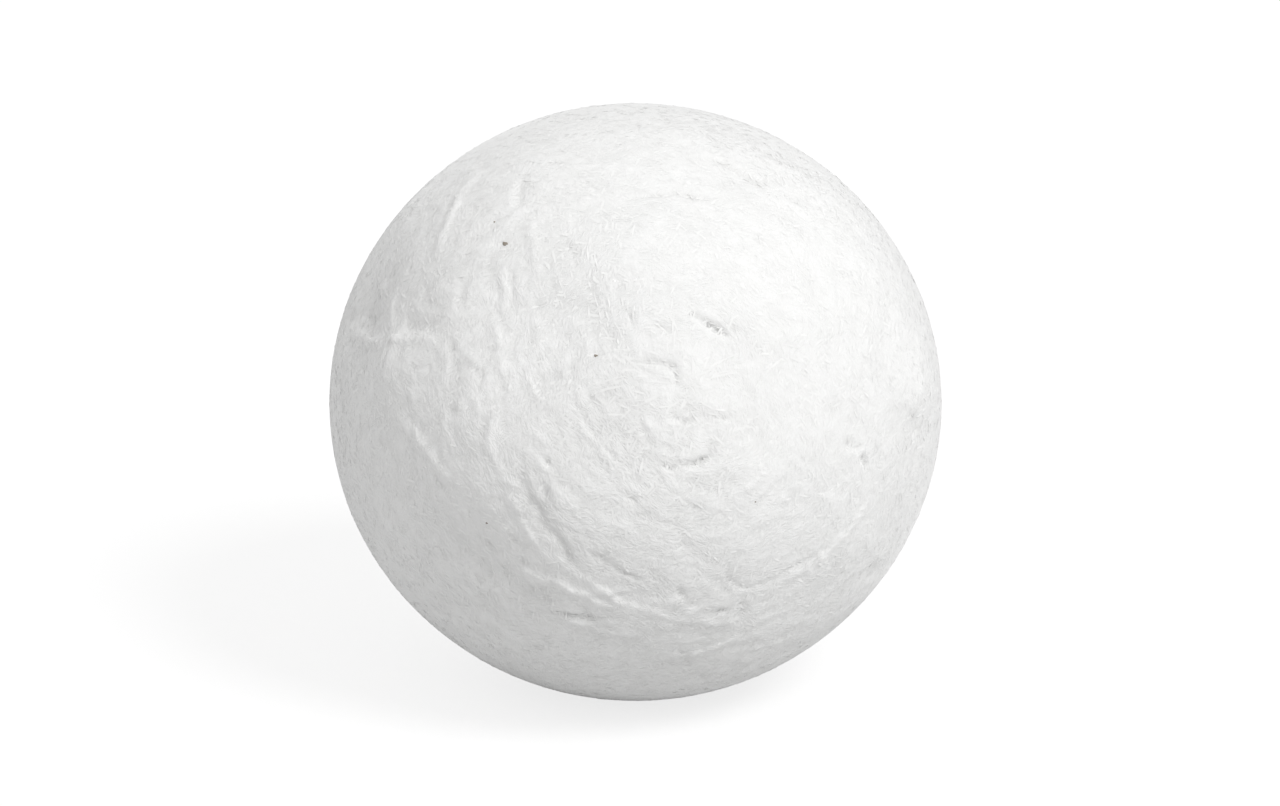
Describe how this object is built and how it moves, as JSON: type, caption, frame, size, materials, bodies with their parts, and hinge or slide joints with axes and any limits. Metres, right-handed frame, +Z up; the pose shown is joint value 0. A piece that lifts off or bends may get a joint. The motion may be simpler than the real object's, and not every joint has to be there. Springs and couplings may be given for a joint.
{
  "type": "cotton ball",
  "caption": "Round wad of white carded cotton, wound into a ball with a whorled, softly creased face, settled on a small flat spot.",
  "frame": {"origin": "middle of the flat spot that the ball rests on, below the middle of the ball", "axes": "+Z up from the flat spot; -Y forward, the way that the whorled face looks, a little upwards; +X to the right of the face for someone who looks at it, along +Y"},
  "size_m": [0.035, 0.035, 0.0337],
  "materials": {
    "cotton": "matt, fibrous, white bleached cotton"
  },
  "bodies": {
    "root": {"cotton_ball": "cotton"}
  },
  "joints": []
}
